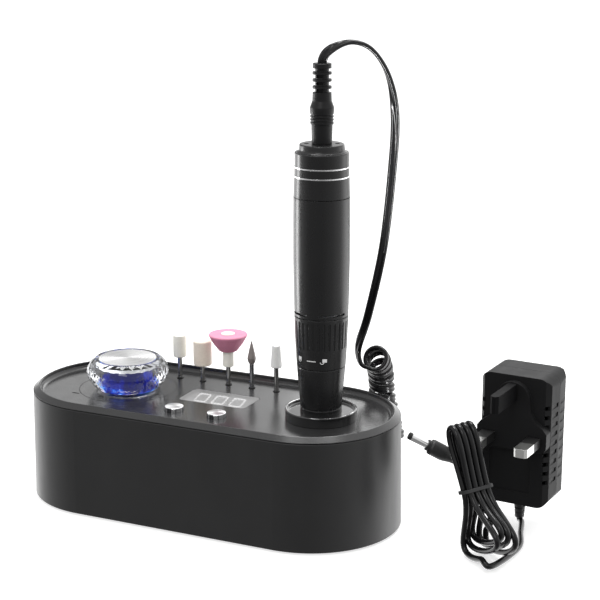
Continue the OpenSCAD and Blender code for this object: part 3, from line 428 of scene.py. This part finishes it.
def sweep(name, path, sides, section, material):
    """A tube along path; section is a closed list of (along side, outwards) offsets."""
    n, m = len(path), len(section)
    points, faces = [], []
    for i, p in enumerate(path):
        t = (path[min(i + 1, n - 1)] - path[max(i - 1, 0)]).normalized()
        flat = (sides[i] - sides[i].dot(t) * t).normalized()
        out = t.cross(flat)
        points += [p + flat * a + out * b for a, b in section]
    for i in range(n - 1):
        for k in range(m):
            faces.append((i * m + k, i * m + (k + 1) % m, (i + 1) * m + (k + 1) % m, (i + 1) * m + k))
    faces.append(tuple(range(m - 1, -1, -1)))
    faces.append(tuple((n - 1) * m + k for k in range(m)))
    return mesh_piece(name, points, faces, material, sharp=75)


def round_section(r, sides=16):
    return [(r * math.cos(math.tau * k / sides), r * math.sin(math.tau * k / sides)) for k in range(sides)]


def twin_section(r, sides=11):
    """Two round conductors side by side, joined by a web."""
    right = [(r + r * math.cos(a), r * math.sin(a))
             for a in [math.radians(-128 + 256 * k / (sides - 1)) for k in range(sides)]]
    return right + [(-x, -y) for x, y in right]


def metres(points):
    return [(a * MM, b * MM) for a, b in points]


# ---------------------------------------------------------------- crystal knob

def faceted_crystal():
    """A cut crystal: rows of triangular facets, a pocket on top for the disc, and a bore underneath."""
    low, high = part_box("speed_knob")
    centre = middle("speed_knob")
    r, h, z0 = (high.x - low.x) / 2, high.z - low.z, low.z
    core_low, core_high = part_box("knob_core")
    disc_low, disc_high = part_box("knob_disc")
    core_r = (core_high.x - core_low.x) / 2 + 0.05 * MM
    disc_r = (disc_high.x - disc_low.x) / 2 + 0.05 * MM
    cuts = 24
    rows = [(0.77, 0.0), (0.88, 0.17), (0.968, 0.36), (1.0, 0.56), (0.965, 0.74), (0.885, 0.9), (0.79, 1.0)]
    points, faces = [], []

    def ring(radius, z, count, turn=0.0):
        start = len(points)
        for k in range(count):
            a = math.tau * (k + turn) / count
            points.append(Vector((centre.x + radius * math.cos(a), centre.y + radius * math.sin(a), z)))
        return start

    starts = [ring(r * share, z0 + h * up, cuts, 0.5 * (i % 2)) for i, (share, up) in enumerate(rows)]
    for i in range(len(rows) - 1):
        for k in range(cuts):
            a, b = starts[i] + k, starts[i] + (k + 1) % cuts
            c, d = starts[i + 1] + k, starts[i + 1] + (k + 1) % cuts
            faces += [(a, b, c), (b, d, c)] if i % 2 == 0 else [(a, b, d), (a, d, c)]

    def band(one, two):
        """Joins two rings of points that have different counts."""
        (s1, n1), (s2, n2) = one, two
        i = j = 0
        while i < n1 or j < n2:
            if j >= n2 or (i < n1 and (i + 1) / n1 <= (j + 1) / n2):
                faces.append((s1 + i % n1, s1 + (i + 1) % n1, s2 + j % n2))
                i += 1
            else:
                faces.append((s1 + i % n1, s2 + (j + 1) % n2, s2 + j % n2))
                j += 1

    fine = 72
    pocket = ring(disc_r, z0 + h, fine), ring(disc_r, disc_low.z - 0.02 * MM, fine)
    bore = ring(core_r, core_high.z + 0.02 * MM, fine), ring(core_r, z0, fine)
    band((starts[-1], cuts), (pocket[0], fine))
    band((pocket[0], fine), (pocket[1], fine))
    faces.append(tuple(pocket[1] + k for k in range(fine)))
    faces.append(tuple(bore[0] + k for k in range(fine - 1, -1, -1)))
    band((bore[0], fine), (bore[1], fine))
    band((bore[1], fine), (starts[0], cuts))
    obj = mesh_piece("crystal_cut", points, faces, finish["speed_knob"])
    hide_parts("speed_knob")
    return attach(obj, "knob")


faceted_crystal()


# ---------------------------------------------------------------- coiled cord

def coiled_cord():
    """The flat twin cord from the rear socket, through its coil and up to the handpiece."""
    turn25 = math.radians(25)
    forward = Vector((math.sin(turn25), -math.cos(turn25), 0))
    sideways = Vector((math.cos(turn25), math.sin(turn25), 0))
    up = Vector((0, 0, 1))
    turn9 = math.radians(9)
    coil_front = Vector((math.sin(turn9), -math.cos(turn9), 0))
    coil_side = Vector((math.cos(turn9), math.sin(turn9), 0))
    foot, rise, bend_r, bend = Vector((66.2, 66, 24)), 21.0, 24.0, math.radians(72)
    r, cord_r, pitch, lean_x, end_q, steps = 5.6, 1.05, 4.6, -5.5, math.radians(245), 40
    open_pitch = pitch * bend_r / (bend_r - r - 0.6)
    bend_turns = bend_r * bend / open_pitch
    turns = rise / pitch + bend_turns

    def along(t):
        return t * pitch if t < turns - bend_turns else rise + (t - turns + bend_turns) * open_pitch

    def lean(d):
        return max(0, d - rise) / bend_r

    def middle_line(d):
        a = lean(d)
        return (foot + Vector((lean_x * min(d, rise) / rise, 0, min(d, rise)))
                + bend_r * (1 - math.cos(a)) * coil_front + bend_r * math.sin(a) * up)

    def axis(d):
        return math.sin(lean(d)) * coil_front + math.cos(lean(d)) * up

    n = round(turns * steps)
    coil, axes = [], []
    for i in range(n + 1):
        t = turns * i / n
        d = along(t)
        a, q = lean(d), end_q + math.tau * (turns - t)
        coil.append(middle_line(d) + r * (math.cos(q) * coil_side
                                          + math.sin(q) * (math.sin(a) * up - math.cos(a) * coil_front)))
        axes.append(axis(d))
    plug_low, plug_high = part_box("base_plug")
    start = Vector(((plug_low.x + plug_high.x) / 2, plug_high.y, (plug_low.z + plug_high.z) / 2)) / MM
    boot_low, boot_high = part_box("plug_boot")
    top = Vector(((boot_low.x + boot_high.x) / 2, (boot_low.y + boot_high.y) / 2, boot_high.z)) / MM
    first, last = coil[0], coil[n]
    back = (first - coil[2]).normalized()
    out = (last - coil[n - 2]).normalized()
    V = Vector
    tail = spline([start - V((0, 10, 0)), start + V((0, 0.8, 0)), start + V((2.5, 8, -0.5)),
                   start + V((9, 12.5, -3)), first + back * 7 + V((0, 0, -2.5)), first, coil[6]], 12)
    lead = spline([coil[n - 5], last, last + out * 4.5 + V((0, 0, 1)), last + out * 5.5 + V((-0.5, 1, 9)),
                   V((64.5, 38, 93)), V((74.5, 31, 128)), V((82, 22, 166)), V((86, 14.5, 192)),
                   V((84.5, 10, 210)), V((78, 7, 221.5)), V((69.5, 4, 225)), V((61, 0.5, 222)),
                   top + V((0, 0, 0.8)), top - V((0, 0, 9))], 16)
    lead_side, settled, arch = [], 68, 0.45
    for i in range(len(lead)):
        t = min(1, i / settled)
        over = math.sin(math.pi * max(0, i / (len(lead) - 1) - arch) / (1 - arch)) ** 2
        lead_side.append((1 - t) * axes[n] + t * (1 - over) * sideways + over * forward)
    path = [start] + tail + coil[:-1] + lead + [top + V((0, 0, 0.8)), top]
    sides = [up] * (len(tail) + 1) + axes[:-1] + lead_side + [sideways, sideways]
    obj = sweep("coiled_twin_cord", [p * MM for p in path], sides, metres(twin_section(cord_r)), cord_black)
    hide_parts("coiled_cord")
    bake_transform(obj)
    return obj


cord = coiled_cord()


# ---------------------------------------------------------------- adapter cable

def adapter_cable():
    """The round output cable: wound in four loops, tied, and led to its plug."""
    V = Vector
    up = V((-0.34, 0.17, 0.92)).normalized()
    step = up.cross(V((0.66, -0.55, 0))).normalized()
    across = step.cross(up)
    r, height, loops = 1.4, 59.0, 4.14
    pitch = 2 * r + 0.12
    foot = V((147, -15, 4.8))

    def wound(turn):
        k = turn - math.floor(turn)
        h = (1 - math.cos(math.tau * k)) / 2
        low = 3 * (1 - math.cos(math.tau * turn / loops)) * (1 - h)
        bow = 17 if h < 0.5 else 3.5
        swing, back = math.sin(math.tau * k), math.cos(math.tau * k)
        w = (r + 0.1) * abs(swing) + bow * abs(math.sin(2 * math.tau * k) * back)
        side = math.copysign(1, swing) if abs(swing) > 1e-9 else 0
        return foot + up * (low + (height - low) * h) + step * pitch * (turn - loops / 2) - across * side * w

    steps = 60
    n = round(loops * steps)
    loop = [wound(i / steps) for i in range(n + 1)]
    low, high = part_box("adapter_relief")
    relief = V(((low.x + high.x) / 2, (low.y + high.y) / 2, low.z)) / MM
    plug = V((124.9, 9.3, 36.1))
    enter, leave = (loop[0] - loop[1]).normalized(), (loop[n] - loop[n - 1]).normalized()
    lead_in = spline([relief + V((0, 0, 8)), relief - V((0, 0, 0.3)), relief + V((2, -3, -1.4)),
                      relief + V((5, -14, -1.8)), relief + V((9.5, -32, -1.7)),
                      loop[0] + enter * 8 + V((0, 3, -4)), loop[0], loop[2]], 10)
    near_plug = plug - PLUG_AXIS * 0.6
    lead_out = spline([loop[n - 3], loop[n], loop[n] + leave * 5 + step * 2.5, plug + V((8, 3, -12)),
                       plug - PLUG_AXIS * 6 + V((0, 0, -1.5)), near_plug, plug + PLUG_AXIS * 5], 10)
    path = [relief - V((0, 0, 0.1))] + lead_in + loop[:-1] + lead_out + [near_plug, plug]
    sides = [step] * len(path)
    obj = sweep("adapter_cable", [p * MM for p in path], sides, metres(round_section(r)), cord_black)
    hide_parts("dc_cable")
    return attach(obj, "adapter")


adapter_cable()


# ---------------------------------------------------------------- stage, light, camera

g = Graph("pale_floor")
tone = g.mix(g.noise(3.0, 3.0), rgb(0.60, 0.60, 0.60), rgb(0.62, 0.62, 0.62))
paper = g.surface(g.principled(Base_Color=tone, Roughness=0.9, Specular_IOR_Level=0.0,
                               Emission_Color=rgb(1, 1, 1), Emission_Strength=0.62,
                               Normal=g.bump(g.noise(400.0), 0.02, 0.0001)))
floor = mesh_piece("floor", [(-8, -8, 0), (8, -8, 0), (8, 8, 0), (-8, 8, 0)], [(0, 1, 2, 3)], paper)
floor.visible_glossy = floor.visible_diffuse = floor.visible_transmission = floor.visible_shadow = False

AZ, EL, DISTANCE = math.radians(24.94), math.radians(14.5), 0.7805
aim = mm(27.66, 39.83, 95.56)
to_camera = Vector((math.sin(AZ) * math.cos(EL), -math.cos(AZ) * math.cos(EL), math.sin(EL)))
right = Vector((math.cos(AZ), math.sin(AZ), 0))
camera_data = bpy.data.cameras.new("camera")
camera_data.lens, camera_data.sensor_width = 96, 36
camera_data.clip_start, camera_data.clip_end = 0.05, 20
camera = bpy.data.objects.new("camera", camera_data)
camera.location = aim + to_camera * DISTANCE
camera.rotation_euler = to_camera.to_track_quat("Z", "Y").to_euler()
bpy.context.scene.collection.objects.link(camera)
bpy.context.scene.camera = camera

# The room: a soft ring of light round the object, dark on the camera's side. Its low half lights the upright
# walls and its high half is what the deck mirrors.
g = Graph("studio", world=True)
bpy.context.scene.world = g.m
level = Vector((to_camera.x, to_camera.y, 0)).normalized()
turn = g.remap(g.math("ARCTAN2", g.dot(g.coord, right), g.dot(g.coord, -level)), -math.pi, math.pi, 0.0, 1.0)
low = g.ramp(turn, [(0.0, 0.25), (1.0, 0.25), (0.14, 0.3), (0.28, 0.8), (0.41, 2.4), (0.5, 1.3), (0.58, 1.6),
                    (0.68, 2.4), (0.80, 0.9), (0.90, 0.45)])
high = g.ramp(turn, [(0.0, 0.7), (1.0, 0.7), (0.25, 1.0), (0.46, 0.55), (0.49, 0.6), (0.53, 2.0),
                     (0.62, 1.6)])
rising = g.remap(g.split(g.coord)[2], -0.06, 0.1, 0.0, 1.0)
falling = g.math("SUBTRACT", 1.0, rising)
ring = g.math("ADD", g.math("MULTIPLY", low, falling), g.math("MULTIPLY", high, rising))
white = rgb(1, 1, 1)
lit = g.node("Background", {"Color": white, "Strength": ring}).outputs["Background"]
seen = g.node("Background", {"Color": white, "Strength": 1.0}).outputs["Background"]
g.surface(g.blend(g.node("LightPath").outputs["Is Camera Ray"], lit, seen))


def softbox(name, place, width, height, power, target=None, only=None):
    """A soft light; with only, it lights just those objects."""
    light = bpy.data.lights.new(name, "AREA")
    light.shape, light.size, light.size_y, light.energy = "RECTANGLE", width, height, power
    obj = bpy.data.objects.new(name, light)
    obj.location = place
    obj.rotation_euler = (place - (target or aim)).to_track_quat("Z", "Y").to_euler()
    bpy.context.scene.collection.objects.link(obj)
    if only:
        group = bpy.data.collections.new(name + "_lights")
        for o in only:
            group.objects.link(o)
        obj.light_linking.receiver_collection = group


up = Vector((0, 0, 1))
softbox("top_box", aim + up * 1.3 - to_camera * 0.25, 0.7, 0.45, 13.0)
softbox("front_fill", aim + to_camera * 1.5 + up * 0.9 - right * 0.6, 0.8, 0.8, 7.0)
hand = [nodes[n] for n in ("barrel", "tail_sleeve", "end_cap", "nose_cone", "lock_collar", "plug_boot",
                           "polished_rings")]
grip = mm(57.3, -0.8, 130)
softbox("hand_left", grip - right * 0.42 + to_camera * -0.2 - up * 0.12, 0.12, 0.5, 2.2, grip, hand)
softbox("hand_right", grip + right * 0.5 + to_camera * -0.16 - up * 0.12, 0.3, 0.5, 0.15, grip, hand)
cord_at = mm(80, 16, 170)
for name, place, power in (("cord_left", -right * 0.3 + to_camera * 0.4, 5.0),
                           ("cord_right", right * 0.4 + to_camera * 0.22, 4.0)):
    softbox(name, cord_at + place - up * 0.34, 0.05, 0.3, power, cord_at, [cord])
# Each deck light hangs where the flat deck mirrors it towards the camera.
deck = [nodes["top_cover"], nodes["knob_plate"]]
deck_light_gap = 0.7
for name, place, heading, size, power in (
        ("deck_left", mm(-72, -22, 52), (-0.53, 0.79, 0.30), 0.12, 0.045),
        ("deck_front", mm(40, -30, 52), (-0.42, 0.85, 0.325), 0.10, 0.03),
        ("deck_right", mm(68, 22, 52), (-0.37, 0.88, 0.31), 0.11, 0.08)):
    softbox(name, place + Vector(heading) * deck_light_gap, size, size, power, place, deck)
cup_at = mm(57.3, -0.8, 57)
softbox("cup_back", cup_at - to_camera * 0.5 + up * 0.42 + right * 0.1, 0.16, 0.1, 0.6, cup_at,
        [nodes["holder_cup"]])
caps = [nodes["mode_button"], nodes["power_button"]]
button_at = middle("power_button")
softbox("button_front", button_at + to_camera * 0.5 - right * 0.1 - up * 0.1, 0.3, 0.12, 1.2, button_at, caps)

scene = bpy.context.scene
scene.view_settings.view_transform = "Standard"
scene.view_settings.look = "None"
